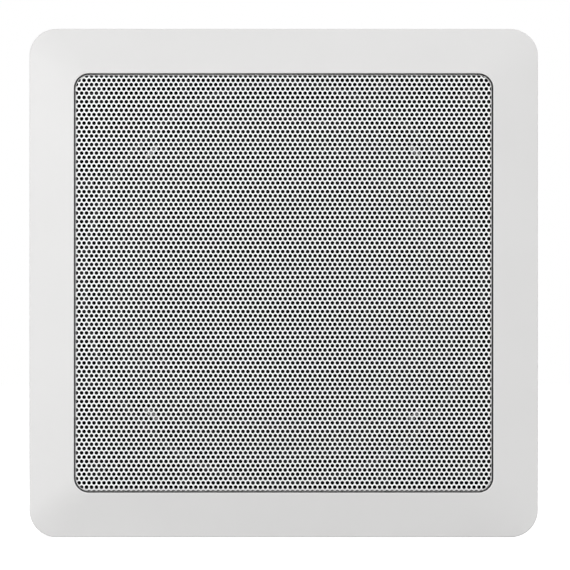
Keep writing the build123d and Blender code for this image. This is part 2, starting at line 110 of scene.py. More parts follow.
# Surround and spider of the driver
surround_thick = 0.5
surround_roll_inner = 58.5
surround_roll_width = 8.0
surround_roll_height = 3.8
surround_inner_land = 3.2
surround_outer_land = 5.6
surround_roll_steps = 24
surround_sectors = 24
spider_thick = 0.5
spider_waves = 5
spider_wave_height = 1.2
spider_wave_end = 34.5
spider_wave_steps = 12
spider_collar_height = 2.0
spider_sectors = 12
sector_steps = 8

# Foam gasket on the driver's front, and the screw heads that it covers
gasket_width = 7.0
gasket_crown = 1.1
gasket_side = 0.9
gasket_notch = 4.1
gasket_slope = 1.6
gasket_cover = 0.4
gasket_uneven = 0.05
gasket_uneven_rate = 1.3
gasket_slit_length = 7.0
gasket_slit_width = 2.3
gasket_slit_inset = 0.9
gasket_steps = 240
gasket_rows = 10
slit_steps = 6
notch_steps = 24
screw_circle = 76.0
screw_count = 4
screw_head_radius = 3.5
head_clearance = 0.1

# Clamp screws. The thread's profile has points along one pitch, at its root (0) or its crest (1).
thread_pitch = 1.4
thread_crest = 1.98
thread_root = 1.55
thread_profile = ((0.0, 0), (0.35, 1), (0.6, 1), (0.95, 0))
thread_steps = 24
head_diameter = 8.0
head_height = 2.8
head_round = 0.8
head_round_steps = 5
head_steps = 32
drive_width = 1.1
drive_share = 0.62
drive_sink = 1.2
clamp_names = ("top", "right", "bottom", "left")

# Textures: how much detail the noises have, and the part of their range that a finish uses
grain_detail = 3.0
patch_detail = 4.0
ring_detail = 2.0
ring_scale = 1.0
broad_ring_scale = 0.06
soak_detail = 5.0
soak_scale = 90.0
tone_low = 0.3
tone_high = 0.7

# Studio: an even sky, a pale floor and soft lamps. A lamp's turn and rise are in degrees, seen
# from the speaker: turned to the right and risen above level.
sky_level = 0.455
floor_glow = 0.84
floor_tone = 0.42
floor_size = 12000.0
lamps = (
    {"name": "key_lamp", "turn": -28.0, "rise": 6.0, "distance": 1320.0, "size": 450.0, "power": 9.5},
    {"name": "fill_lamp", "turn": 60.0, "rise": 37.0, "distance": 900.0, "size": 450.0, "power": 2.0},
    {"name": "back_lamp", "turn": 148.0, "rise": 38.0, "distance": 1500.0, "size": 600.0, "power": 14.0},
)


def node_box(node):
    """The lowest and highest corner of a node in millimetres."""
    low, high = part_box(node)
    return low / mm, high / mm


def make_piece(name, points, faces, smooth_angle):
    """A mesh object from points in millimetres, smooth up to an angle in degrees."""
    mesh = bpy.data.meshes.new(name)
    mesh.from_pydata((np.asarray(points, float) * mm).tolist(), [], faces)
    mesh.update()
    mesh.shade_smooth()
    mesh.set_sharp_from_angle(angle=math.radians(smooth_angle))
    piece = bpy.data.objects.new(name, mesh)
    bpy.context.scene.collection.objects.link(piece)
    return piece


def circle(centre, radius, steps):
    """Points round a circle."""
    turns = [2 * math.pi * step / steps for step in range(steps)]
    return [(centre[0] + radius * math.cos(turn), centre[1] + radius * math.sin(turn)) for turn in turns]


def add_loop(points, edges, loop):
    """Adds a closed line to the points and edges of a flat sheet."""
    first = len(points)
    points.extend(loop)
    edges.extend((first + i, first + (i + 1) % len(loop)) for i in range(len(loop)))


def triangulate(points, edges):
    """Places and triangles of a flat sheet in which the edges are kept."""
    cut = delaunay_2d_cdt([Vector(point) for point in points], edges, [], 0, merge_distance)
    return np.array([tuple(point) for point in cut[0]]), np.array(cut[2])


def open_edges(triangles, count):
    """The edges that only one triangle has, each in that triangle's direction."""
    directed = np.vstack((triangles[:, [0, 1]], triangles[:, [1, 2]], triangles[:, [2, 0]]))
    keys = np.sort(directed, axis=1)
    _, first, times = np.unique(keys[:, 0] * count + keys[:, 1], return_index=True, return_counts=True)
    return directed[first[times == 1]].tolist()


# Shader groups that several finishes share


def put(tree, kind, settings=None, inputs=None):
    """Adds a node with its settings, and gives its inputs a value or a link."""
    node = tree.nodes.new(kind)
    for name, value in (settings or {}).items():
        setattr(node, name, value)
    for name, value in (inputs or {}).items():
        if isinstance(value, bpy.types.NodeSocket):
            tree.links.new(value, node.inputs[name])
        else:
            node.inputs[name].default_value = value
    return node


def new_group(name, inputs):
    """An empty shader group with named numbers to take in and a height and a tone to put out."""
    group = bpy.data.node_groups.new(name, "ShaderNodeTree")
    for socket, value in inputs.items():
        made = group.interface.new_socket(socket, in_out="INPUT", socket_type="NodeSocketFloat")
        made.default_value = value
    for socket in ("Height", "Tone"):
        group.interface.new_socket(socket, in_out="OUTPUT", socket_type="NodeSocketFloat")
    return group, group.nodes.new("NodeGroupInput"), group.nodes.new("NodeGroupOutput")


def grain_group():
    """Fine grain of a moulded, painted or pressed skin, and its broad change of tone."""
    group, given, put_out = new_group("skin_grain", {"Grain": 2500.0, "Patches": 30.0})
    place = put(group, "ShaderNodeTexCoord").outputs["Object"]
    fine = put(
        group,
        "ShaderNodeTexNoise",
        inputs={"Vector": place, "Scale": given.outputs["Grain"], "Detail": grain_detail},
    )
    broad = put(
        group,
        "ShaderNodeTexNoise",
        inputs={"Vector": place, "Scale": given.outputs["Patches"], "Detail": patch_detail},
    )
    group.links.new(fine.outputs["Fac"], put_out.inputs["Height"])
    group.links.new(broad.outputs["Fac"], put_out.inputs["Tone"])
    return group


def axis_place(group):
    """Where a point lies: its separate axes, and its distance from the speaker's axis."""
    place = put(group, "ShaderNodeTexCoord")
    apart = put(group, "ShaderNodeSeparateXYZ", inputs={"Vector": place.outputs["Object"]})
    across = put(
        group,
        "ShaderNodeCombineXYZ",
        inputs={"X": apart.outputs["X"], "Y": apart.outputs["Z"]},
    )
    radius = put(group, "ShaderNodeVectorMath", {"operation": "LENGTH"}, {0: across.outputs["Vector"]})
    return place, apart, radius.outputs["Value"]


def ring_group():
    """Fine rings about the speaker's axis, as on turned, pressed or wound pieces."""
    group, given, put_out = new_group("axis_rings", {"Rings": 1500.0})
    _, _, radius = axis_place(group)
    along = put(
        group,
        "ShaderNodeMath",
        {"operation": "MULTIPLY"},
        {0: radius, 1: given.outputs["Rings"]},
    )
    for scale, socket in ((ring_scale, "Height"), (broad_ring_scale, "Tone")):
        rings = put(
            group,
            "ShaderNodeTexNoise",
            {"noise_dimensions": "1D"},
            {"W": along.outputs["Value"], "Scale": scale, "Detail": ring_detail},
        )
        group.links.new(rings.outputs["Fac"], put_out.inputs[socket])
    return group


def weave_group():
    """Crossed threads laid round the axis: one set along the radius, the other along the ring."""
    group, given, put_out = new_group("round_weave", {"Threads": 1800.0, "Around": 300.0})
    place, apart, radius = axis_place(group)
    angle = put(
        group,
        "ShaderNodeMath",
        {"operation": "ARCTAN2"},
        {0: apart.outputs["Z"], 1: apart.outputs["X"]},
    )
    waves = []
    for value, count in ((radius, "Threads"), (angle.outputs["Value"], "Around")):
        phase = put(
            group,
            "ShaderNodeMath",
            {"operation": "MULTIPLY"},
            {0: value, 1: given.outputs[count]},
        )
        wave = put(group, "ShaderNodeMath", {"operation": "SINE"}, {0: phase.outputs["Value"]})
        waves.append(wave.outputs["Value"])
    over = put(group, "ShaderNodeMath", {"operation": "MAXIMUM"}, {0: waves[0], 1: waves[1]})
    height = put(
        group,
        "ShaderNodeMapRange",
        inputs={"Value": over.outputs["Value"], "From Min": -1.0, "From Max": 1.0},
    )
    soak = put(
        group,
        "ShaderNodeTexNoise",
        inputs={"Vector": place.outputs["Object"], "Scale": soak_scale, "Detail": soak_detail},
    )
    group.links.new(height.outputs["Result"], put_out.inputs["Height"])
    group.links.new(soak.outputs["Fac"], put_out.inputs["Tone"])
    return group


skin_grain = grain_group()
axis_rings = ring_group()
round_weave = weave_group()


# Finishes, one for each material slot of the record and one for the painted shade on the grille's inner
# side


def follow_tone(tree, effect, low, high):
    """A number that goes from low to high with the tone of a shared group."""
    spread = put(
        tree,
        "ShaderNodeMapRange",
        inputs={
            "Value": effect.outputs["Tone"],
            "From Min": tone_low,
            "From Max": tone_high,
            "To Min": low,
            "To Max": high,
        },
    )
    return spread.outputs["Result"]


def new_finish(name, group, group_inputs, tones, roughness, bump, constants=None):
    """A finish whose colour and roughness follow a shared group, with the group's relief as its bump.

    tones and roughness hold their values at the two ends of the group's tone, and bump is the
    relief's depth in metres."""
    material = bpy.data.materials.new(name)
    material.use_nodes = True
    tree = material.node_tree
    shader = tree.nodes["Principled BSDF"]
    for socket, value in (constants or {}).items():
        shader.inputs[socket].default_value = value
    effect = put(tree, "ShaderNodeGroup", {"node_tree": group}, group_inputs)
    colour = put(
        tree,
        "ShaderNodeMix",
        {"data_type": "RGBA"},
        {"Factor": follow_tone(tree, effect, 0.0, 1.0), "A": (*tones[0], 1.0), "B": (*tones[1], 1.0)},
    )
    tree.links.new(colour.outputs["Result"], shader.inputs["Base Color"])
    tree.links.new(follow_tone(tree, effect, *roughness), shader.inputs["Roughness"])
    relief = put(
        tree,
        "ShaderNodeBump",
        inputs={"Height": effect.outputs["Height"], "Strength": 1.0, "Distance": bump},
    )
    tree.links.new(relief.outputs["Normal"], shader.inputs["Normal"])
    return material


def grey(value):
    """A colour without hue."""
    return (value, value, value)


# For each finish: its group and the group's inputs, tones, roughness, bump and the shader's constants
metal = {"Metallic": 1.0}
finish_values = {
    "white_plastic": (
        skin_grain,
        {"Grain": 2600.0, "Patches": 25.0},
        ((0.714, 0.710, 0.706), (0.728, 0.724, 0.720)),
        (0.42, 0.50),
        0.000006,
    ),
    "white_steel": (
        skin_grain,
        {"Grain": 1800.0, "Patches": 40.0},
        (grey(0.885), grey(0.905)),
        (0.36, 0.44),
        0.000008,
    ),
    # Painted shade: a dark coat on the grille's back, its rim's inner side and deep in the bend holes,
    # standing in for the shade seen through the holes
    "grille_painted_shade": (
        skin_grain,
        {"Grain": 1800.0, "Patches": 40.0},
        (grey(0.010), grey(0.016)),
        (0.55, 0.68),
        0.000008,
        {"Specular IOR Level": 0.2},
    ),
    # Partly the baffle's own black and partly painted shade: tone and specular level sit below the
    # plastic's own so that the holes look black
    "black_plastic": (
        skin_grain,
        {"Grain": 2200.0, "Patches": 35.0},
        (grey(0.003), grey(0.005)),
        (0.62, 0.72),
        0.00002,
        {"Specular IOR Level": 0.05},
    ),
    "black_steel": (
        skin_grain,
        {"Grain": 1600.0, "Patches": 45.0},
        (grey(0.010), grey(0.017)),
        (0.38, 0.52),
        0.000012,
        {"Specular IOR Level": 0.2},
    ),
    "zinc_steel": (
        skin_grain,
        {"Grain": 1200.0, "Patches": 220.0},
        ((0.12, 0.12, 0.115), (0.165, 0.165, 0.17)),
        (0.34, 0.46),
        0.000006,
        metal,
    ),
    "black_screw": (
        skin_grain,
        {"Grain": 1500.0, "Patches": 200.0},
        (grey(0.008), grey(0.015)),
        (0.34, 0.48),
        0.000006,
        {"Metallic": 0.5, "Specular IOR Level": 0.2},
    ),
    "foam": (
        skin_grain,
        {"Grain": 1400.0, "Patches": 120.0},
        (grey(0.003), grey(0.006)),
        (0.80, 0.92),
        0.00012,
        {"Specular IOR Level": 0.05},
    ),
    "surround_rubber": (
        axis_rings,
        {"Rings": 900.0},
        (grey(0.004), grey(0.007)),
        (0.40, 0.50),
        0.000012,
        {"Specular IOR Level": 0.1},
    ),
    "cone_paper": (
        skin_grain,
        {"Grain": 700.0, "Patches": 60.0},
        (grey(0.003), grey(0.006)),
        (0.66, 0.80),
        0.00007,
        {"Specular IOR Level": 0.05},
    ),
    "spider_cloth": (
        round_weave,
        {"Threads": 9000.0, "Around": 260.0},
        ((0.46, 0.28, 0.09), (0.62, 0.42, 0.16)),
        (0.62, 0.78),
        0.0001,
    ),
    "former_paper": (
        skin_grain,
        {"Grain": 900.0, "Patches": 150.0},
        ((0.36, 0.21, 0.09), (0.45, 0.28, 0.13)),
        (0.60, 0.72),
        0.00002,
    ),
    "copper_wire": (
        skin_grain,
        {"Grain": 3000.0, "Patches": 300.0},
        ((0.62, 0.24, 0.10), (0.76, 0.36, 0.18)),
        (0.26, 0.36),
        0.00001,
        metal,
    ),
    "plated_plate": (
        axis_rings,
        {"Rings": 2600.0},
        ((0.25, 0.25, 0.245), (0.37, 0.37, 0.365)),
        (0.24, 0.40),
        0.000006,
        metal,
    ),
    "ferrite": (
        skin_grain,
        {"Grain": 1800.0, "Patches": 50.0},
        (grey(0.030), grey(0.048)),
        (0.46, 0.64),
        0.00003,
    ),
    "fibre_board": (
        skin_grain,
        {"Grain": 1500.0, "Patches": 260.0},
        ((0.16, 0.065, 0.025), (0.24, 0.10, 0.04)),
        (0.46, 0.58),
        0.00002,
    ),
    "tinned_brass": (
        skin_grain,
        {"Grain": 900.0, "Patches": 300.0},
        ((0.46, 0.45, 0.42), (0.60, 0.59, 0.56)),
        (0.24, 0.38),
        0.000008,
        metal,
    ),
    "insert_brass": (
        skin_grain,
        {"Grain": 1400.0, "Patches": 200.0},
        ((0.60, 0.40, 0.14), (0.74, 0.54, 0.22)),
        (0.24, 0.36),
        0.000006,
        metal,
    ),
    "arm_plastic": (
        skin_grain,
        {"Grain": 1700.0, "Patches": 80.0},
        (grey(0.018), grey(0.030)),
        (0.48, 0.62),
        0.00003,
    ),
}
finishes = {name: new_finish(name, *row) for name, row in finish_values.items()}


def dress(piece, slot):
    """Gives a piece its finish."""
    piece.data.materials.clear()
    piece.data.materials.append(finishes[slot])


def dress_nodes():
    """Gives every node of the frame the finish of its slot in the record."""
    for row in frame["record"]["subparts"]:
        dress(frame["nodes"][row["node"]], row["material_slot"])


# Grille: the flat sheet is cut round its holes, then folded over at the edge


def flat_edge(grille_half):
    """Half the side and the corner radius of the grille's flat face, inside the bend."""
    return grille_half - bend_radius, grille_corner - bend_radius


def edge_distance(places, half, corner):
    """How far each place lies outside a rounded square, and the outward direction there."""
    inner = half - corner
    beyond = np.abs(places) - inner
    outside = np.maximum(beyond, 0.0)
    length = np.linalg.norm(outside, axis=1)
    direction = np.sign(places) * outside / np.maximum(length, smallest_length)[:, None]
    return length - corner, direction


def rounded_square(half, corner, steps):
    """Points round a square with rounded corners."""
    points = []
    for quarter, (side_x, side_z) in enumerate(((1, 1), (-1, 1), (-1, -1), (1, -1))):
        for step in range(steps + 1):
            angle = quarter_turn * (quarter + step / steps)
            x = side_x * (half - corner) + corner * math.cos(angle)
            z = side_z * (half - corner) + corner * math.sin(angle)
            points.append((x, z))
    return points


def is_cut(centres, half, corner):
    """Whether each hole of the lattice lies wholly inside the perforated part of the sheet."""
    distance, _ = edge_distance(centres, half, corner)
    return distance + hole_diameter / 2 < perforation_end - hole_edge_margin


def hole_centres(half, corner):
    """The staggered holes that are cut in the sheet."""
    reach = int((half + perforation_end) / row_pitch) + 2
    centres = []
    for row in range(-reach, reach + 1):
        shift = 0.5 * (row % 2)
        for column in range(-reach, reach + 1):
            x = hole_origin[0] + (column + shift) * hole_pitch
            centres.append((x, hole_origin[1] + row * row_pitch))
    centres = np.array(centres)
    return centres[is_cut(centres, half, corner)]


def hole_outline(x, z):
    """Points round a hole, with a flat side to the right."""
    turns = [2 * math.pi / hole_sides * (side + 0.5) for side in range(hole_sides)]
    radius = hole_diameter / 2
    return [(x + radius * math.cos(turn), z + radius * math.sin(turn)) for turn in turns]


def in_hole(places, half, corner):
    """Whether each place lies in the outline of a hole that is cut."""
    found = np.zeros(len(places), bool)
    turn = 2 * math.pi / hole_sides
    inner = hole_diameter / 2 * math.cos(turn / 2)
    guess = np.round((places[:, 1] - hole_origin[1]) / row_pitch)
    for step in (-1, 0, 1):
        row = guess + step
        shift = 0.5 * (row % 2)
        column = np.round((places[:, 0] - hole_origin[0]) / hole_pitch - shift)
        centre_x = hole_origin[0] + (column + shift) * hole_pitch
        centre_z = hole_origin[1] + row * row_pitch
        cut = is_cut(np.column_stack((centre_x, centre_z)), half, corner)
        from_x = places[:, 0] - centre_x
        from_z = places[:, 1] - centre_z
        lean = (np.arctan2(from_z, from_x) + turn / 2) % turn - turn / 2
        found |= cut & (np.hypot(from_x, from_z) * np.cos(lean) < inner - merge_distance)
    return found


def cut_sheet(half, corner):
    """Places and triangles of the flat sheet round its holes, with lines along the bend where it folds."""
    points = []
    edges = []
    add_loop(points, edges, rounded_square(half + perforation_end, corner + perforation_end, corner_steps))
    for step in range(bend_steps + 1):
        out = neutral_radius * quarter_turn * step / bend_steps
        add_loop(points, edges, rounded_square(half + out, corner + out, corner_steps))
    for x, z in hole_centres(half, corner):
        add_loop(points, edges, hole_outline(x, z))
    places, triangles = triangulate(points, edges)
    middle = places[triangles].mean(axis=1)
    distance, _ = edge_distance(middle, half, corner)
    keep = ~in_hole(middle, half, corner) & (distance < perforation_end)
    return places, triangles[keep]


def fold(places, half, corner, front, depth):
    """Where points of the flat sheet lie once its edge is bent back, this deep in its thickness."""
    distance, direction = edge_distance(places, half, corner)
    past = np.maximum(distance, 0.0)
    angle = np.minimum(past / neutral_radius, quarter_turn)
    straight = past - angle * neutral_radius
    foot = places - direction * past[:, None]
    side = foot + direction * ((bend_radius - depth) * np.sin(angle))[:, None]
    back = front + bend_radius - (bend_radius - depth) * np.cos(angle) + straight
    return np.column_stack((side[:, 0], back, side[:, 1]))


def make_band(name, points, faces, is_painted_shade):
    """One band of the grille: white coated steel, with its back and the deeper walls of its bend holes in a
    dark finish of painted shade.
    """
    used = np.unique(np.concatenate([np.array(face) for face in faces]))
    place_of = np.zeros(len(points), int)
    place_of[used] = np.arange(len(used))
    local = [tuple(place_of[list(face)].tolist()) for face in faces]
    piece = make_piece(name, points[used], local, metal_smooth_angle)
    dress(piece, "white_steel")
    piece.data.materials.append(finishes["grille_painted_shade"])
    piece.data.polygons.foreach_set("material_index", is_painted_shade.astype(int).tolist())
    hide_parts("grille")
    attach(piece, "grille")


def make_grille():
    """The perforated tray in bands, numbered from the top. Its back, and the holes on its bend below part
    of their depth, are dark with painted shade.
    """
    low, high = node_box("grille")
    half, corner = flat_edge(high.x)
    places, triangles = cut_sheet(half, corner)
    front = fold(places, half, corner, low.y, 0.0)
    back = fold(places, half, corner, low.y, sheet)
    # Where the white coat meets the painted shade inside the bend holes
    shade_edge = fold(places, half, corner, low.y, sheet * bend_hole_shade_start)
    rim_front = front.copy()
    rim_back = back.copy()
    rim_front[:, 1] = high.y
    rim_back[:, 1] = high.y
    points = np.vstack((front, back, rim_front, rim_back, shade_edge))
    count = len(places)
    to_back = count
    to_rim = 2 * count
    to_rim_back = 3 * count
    to_shade_edge = 4 * count
    past_flat, _ = edge_distance(places, half, corner)
    on_rim = past_flat > perforation_end - rim_tolerance
    on_bend = past_flat > 0
    coated = [tuple(face) for face in triangles]
    # Faces that take the painted shade: the back, the rim's inner side and the deeper walls of the bend
    # holes
    painted_shade_faces = [tuple(face) for face in triangles[:, ::-1] + to_back]
    for a, b in open_edges(triangles, count):
        if on_rim[a] and on_rim[b]:
            coated.append((b, a, a + to_rim, b + to_rim))
            painted_shade_faces.append((a + to_back, b + to_back, b + to_rim_back, a + to_rim_back))
            painted_shade_faces.append((b + to_rim, a + to_rim, a + to_rim_back, b + to_rim_back))
        elif on_bend[a] and on_bend[b]:
            coated.append((b, a, a + to_shade_edge, b + to_shade_edge))
            painted_shade_faces.append((b + to_shade_edge, a + to_shade_edge, a + to_back, b + to_back))
        else:
            middle_a = [a + to_shade_edge] if on_bend[a] else []
            middle_b = [b + to_shade_edge] if on_bend[b] else []
            coated.append((b, a, *middle_a, a + to_back, b + to_back, *middle_b))
    faces = coated + painted_shade_faces
    is_painted_shade = np.arange(len(faces)) >= len(coated)
    heights = np.array([points[list(face), 2].mean() for face in faces])
    cuts = np.linspace(low.z, high.z, grille_bands + 1)[1:-1]
    band_of = np.searchsorted(cuts, heights, side="right")
    for band in range(grille_bands):
        chosen = np.flatnonzero(band_of == band)
        band_faces = [faces[i] for i in chosen]
        make_band(f"grille_band_{grille_bands - band}", points, band_faces, is_painted_shade[chosen])


# Surround and spider: rings in sectors between the frame and the cone


def ring_sector(name, outline, start, angle):
    """A closed profile of radius and depth, swept round the axis from a start through an angle."""
    points = []
    faces = []
    around = len(outline)
    for step in range(sector_steps + 1):
        turn = start + angle * step / sector_steps
        points += [(r * math.cos(turn), y, r * math.sin(turn)) for r, y in outline]
    for step in range(sector_steps):
        for i in range(around):
            a = step * around + i
            b = step * around + (i + 1) % around
            faces.append((a, a + around, b + around, b))
    faces.append(tuple(range(around)))
    faces.append(tuple(reversed(range(sector_steps * around, (sector_steps + 1) * around))))
    return make_piece(name, points, faces, soft_smooth_angle)


def thicken(line, thickness):
    """The closed outline round a line of radius and depth, half the thickness to each side."""
    line = np.array(line)
    along = np.gradient(line, axis=0)
    across = np.column_stack((-along[:, 1], along[:, 0]))
    across /= np.linalg.norm(across, axis=1)[:, None]
    one = line + across * thickness / 2
    other = line - across * thickness / 2
    return np.vstack((one, other[::-1])).tolist()


def blend_ring(name, outline, sectors, slot):
    """A ring in sectors, reaching from the frame at its outer radius to the cone at its inner one."""
    angle = 2 * math.pi / sectors
    for sector in range(sectors):
        start = sector * angle
        piece = ring_sector(f"{name}_{sector + 1}", outline, start, angle)
        dress(piece, slot)
        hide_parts(name)
        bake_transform(piece)


def make_surround():
    """Rubber half roll between two flat lands."""
    _, high = node_box("surround")
    land = high.y - surround_thick / 2
    half_width = surround_roll_width / 2
    roll_radius = (half_width**2 + surround_roll_height**2) / (2 * surround_roll_height)
    middle = surround_roll_inner + half_width
    sweep = math.asin(min(1.0, half_width / roll_radius))
    line = [(surround_roll_inner - surround_inner_land, land)]
    for step in range(surround_roll_steps + 1):
        lean = sweep * (2 * step / surround_roll_steps - 1)
        rise = roll_radius * math.cos(lean) - (roll_radius - surround_roll_height)
        line.append((middle + roll_radius * math.sin(lean), land - rise))
    outer = surround_roll_inner + surround_roll_width
    line.append((outer + surround_outer_land, land))
    outline = thicken(line, surround_thick)
    blend_ring("surround", outline, surround_sectors, "surround_rubber")


def make_spider():
    """Corrugated cloth from the former's collar out to the basket's shelf."""
    _, high = node_box("spider")
    land = high.y - spider_thick / 2 - spider_wave_height
    collar = node_box("voice_coil_former")[1].x + spider_thick / 2
    first = collar + spider_thick
    line = [(collar, land - spider_collar_height), (collar, land - spider_thick)]
    steps = spider_wave_steps * spider_waves
    for step in range(steps + 1):
        share = step / steps
        rise = spider_wave_height * math.sin(2 * math.pi * spider_waves * share)
        line.append((first + (spider_wave_end - first) * share, land - rise))
    line.append((high.x, land))
    outline = thicken(line, spider_thick)
    blend_ring("spider", outline, spider_sectors, "spider_cloth")


# Foam gasket on the front of the driver


def slit_outline(turn):
    """A slot with round ends over the screw that stands at this angle."""
    radius = screw_circle - gasket_slit_inset
    half = (gasket_slit_length - gasket_slit_width) / 2
    end_radius = gasket_slit_width / 2
    points = []
    for end, start in ((1, 0), (-1, 1)):
        x = radius * math.cos(turn) - end * half * math.sin(turn)
        z = radius * math.sin(turn) + end * half * math.cos(turn)
        for step in range(slit_steps + 1):
            lean = turn + math.pi * (step / slit_steps + start)
            points.append((x + end_radius * math.cos(lean), z + end_radius * math.sin(lean)))
    return points


def in_slit(places, turn):
    """Whether each place lies in the slot over the screw at this angle."""
    out = np.array((math.cos(turn), math.sin(turn)))
    along = np.array((-math.sin(turn), math.cos(turn)))
    half = (gasket_slit_length - gasket_slit_width) / 2
    past_end = np.maximum(np.abs(places @ along) - half, 0.0)
    return np.hypot(past_end, places @ out - screw_circle + gasket_slit_inset) < gasket_slit_width / 2


def ease(share):
    """A smooth step from 0 to 1."""
    share = np.clip(share, 0.0, 1.0)
    return share * share * (3 - 2 * share)


def gasket_sheet(turns, screws):
    """Places and triangles of the flat foam ring round its slits, with rings round the screw heads."""
    half_width = gasket_width / 2
    inner = screw_circle - half_width
    points = []
    edges = []
    add_loop(points, edges, circle((0, 0), screw_circle + half_width, gasket_steps))
    add_loop(points, edges, circle((0, 0), inner, gasket_steps))
    for turn in turns:
        add_loop(points, edges, slit_outline(turn))
    for row in range(1, gasket_rows):
        points += circle((0, 0), inner + gasket_width * row / gasket_rows, gasket_steps)
    for screw in screws:
        for radius in (screw_head_radius + head_clearance, gasket_notch, gasket_notch + gasket_slope / 2):
            ring = np.array(circle(screw, radius, notch_steps))
            across = np.abs(np.linalg.norm(ring, axis=1) - screw_circle)
            points += [tuple(point) for point in ring[across < half_width - head_clearance]]
    places, triangles = triangulate(points, edges)
    middle = places[triangles].mean(axis=1)
    keep = np.abs(np.linalg.norm(middle, axis=1) - screw_circle) < half_width
    for turn in turns:
        keep &= ~in_slit(middle, turn)
    return places, triangles[keep]


def make_front_gasket():
    """Crowned foam ring that passes over the screw heads, slit at each so that the screw can be reached."""
    _, high = node_box("front_gasket")
    head_rise = high.y - node_box("driver_screws")[0].y
    turns = [2 * math.pi * (screw + 0.5) / screw_count for screw in range(screw_count)]
    screws = np.array([(screw_circle * math.cos(turn), screw_circle * math.sin(turn)) for turn in turns])
    places, triangles = gasket_sheet(turns, screws)
    lean = (np.linalg.norm(places, axis=1) - screw_circle) / (gasket_width / 2)
    crown = gasket_side + gasket_crown * (1 - lean**2)
    distance = np.linalg.norm(places[:, None] - screws[None], axis=2).min(axis=1)
    over = ease(1 - (distance - gasket_notch) / gasket_slope)
    height = crown + (head_rise + gasket_cover - crown) * over
    uneven = [noise.noise(Vector((x, 0, z)) * gasket_uneven_rate) for x, z in places]
    height += gasket_uneven * np.array(uneven)
    notch_edge = gasket_notch - screw_head_radius - head_clearance
    under = (head_rise + head_clearance) * ease((gasket_notch - distance) / notch_edge)
    front = np.column_stack((places[:, 0], high.y - height, places[:, 1]))
    back = np.column_stack((places[:, 0], high.y - under, places[:, 1]))
    count = len(places)
    faces = triangles.tolist() + (triangles[:, ::-1] + count).tolist()
    faces += [(b, a, a + count, b + count) for a, b in open_edges(triangles, count)]
    piece = make_piece("front_gasket_foam", np.vstack((front, back)), faces, soft_smooth_angle)
    dress(piece, "foam")
    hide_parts("front_gasket")
    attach(piece, "frame")


# Clamp screws with their threads


def screw_head(points, faces, x, z, face):
    """A round head with a crossed drive, its flat side towards the thread."""
    arm = drive_share * head_diameter / 2
    half = drive_width / 2
    flat = head_diameter / 2 - head_round
    cross = [
        (arm, half), (half, half), (half, arm),
        (-half, arm), (-half, half), (-arm, half),
        (-arm, -half), (-half, -half), (-half, -arm),
        (half, -arm), (half, -half), (arm, -half),
    ]
    flat_points = []
    flat_edges = []
    add_loop(flat_points, flat_edges, circle((0, 0), flat, head_steps))
    add_loop(flat_points, flat_edges, cross)
    places, triangles = triangulate(flat_points, flat_edges)
    first = len(points)
    points += [(x + px, face, z + pz) for px, pz in places.tolist()]
    for triangle in triangles.tolist():
        near, far = sorted(np.abs(places[triangle].mean(axis=0)))
        if near >= half or far >= arm:
            faces.append(tuple(first + corner for corner in triangle))
    top = first + head_steps
    sunk = len(points)
    points += [(x + px, face + drive_sink, z + pz) for px, pz in cross]
    for i in range(len(cross)):
        j = (i + 1) % len(cross)
        faces.append((top + i, top + j, sunk + j, sunk + i))
    faces.append(tuple(range(sunk, sunk + len(cross))))
    rows = []
    for step in range(1, head_round_steps + 1):
        lean = quarter_turn * step / head_round_steps
        rows.append((flat + head_round * math.sin(lean), head_round * (1 - math.cos(lean))))
    rows += [(head_diameter / 2, head_height), (thread_root, head_height)]
    above = first
    for radius, sink in rows:
        below = len(points)
        points += [(px, face + sink, pz) for px, pz in circle((x, z), radius, head_steps)]
        for i in range(head_steps):
            j = (i + 1) % head_steps
            faces.append((above + j, above + i, below + i, below + j))
        above = below


def screw_thread(points, faces, x, z, start, end):
    """A right-hand thread between two depths, running out at both ends, with a flat tip."""
    total = int(((end - start) / thread_pitch - 1) * thread_steps)
    last = total + thread_steps
    first = len(points)
    for step in range(last + 1):
        angle = -2 * math.pi * step / thread_steps
        run_out = min(1.0, step / thread_steps, (last - step) / thread_steps)
        for share, on_crest in thread_profile:
            radius = thread_root + (thread_crest - thread_root) * on_crest * run_out
            depth = start + thread_pitch * (step / thread_steps - 1 + share)
            depth = min(max(depth, start), end)
            points.append((x + radius * math.cos(angle), depth, z + radius * math.sin(angle)))
    row = len(thread_profile)
    for step in range(last):
        for i in range(row - 1):
            a = first + step * row + i
            if points[a + row + 1][1] > start:
                faces.append((a, a + row, a + row + 1, a + 1))
        if step < total:
            a = first + step * row + row - 1
            b = first + (step + thread_steps) * row
            faces.append((a, a + row, b + row, b))
    tip = len(points)
    for step in range(total, last):
        angle = -2 * math.pi * step / thread_steps
        points.append((x + thread_root * math.cos(angle), end, z + thread_root * math.sin(angle)))
    edge = first + total * row + row - 1
    for step in range(1, thread_steps):
        a = edge + step * row
        faces.append((a, a + row, tip + (step + 1) % thread_steps, tip + step))
    run_out_edge = range(tip - 1, tip - 1 - row, -1)
    corners = [tip, *run_out_edge, edge, edge + row]
    faces += [(tip + 1, one, other) for one, other in zip(corners, corners[1:])]
    faces.append(tuple(range(tip, tip + thread_steps)))


def make_clamp_screws():
    """The four clamp screws, each in one piece from its head to its tip."""
    for name in clamp_names:
        node = f"clamp_screw_{name}"
        low, high = node_box(node)
        x = (low.x + high.x) / 2
        z = (low.z + high.z) / 2
        points = []
        faces = []
        screw_head(points, faces, x, z, low.y)
        screw_thread(points, faces, x, z, low.y + head_height, high.y)
        piece = make_piece(f"{node}_threaded", points, faces, metal_smooth_angle)
        dress(piece, "black_screw")
        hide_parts(node)
        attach(piece, node)


# Stage, light and camera


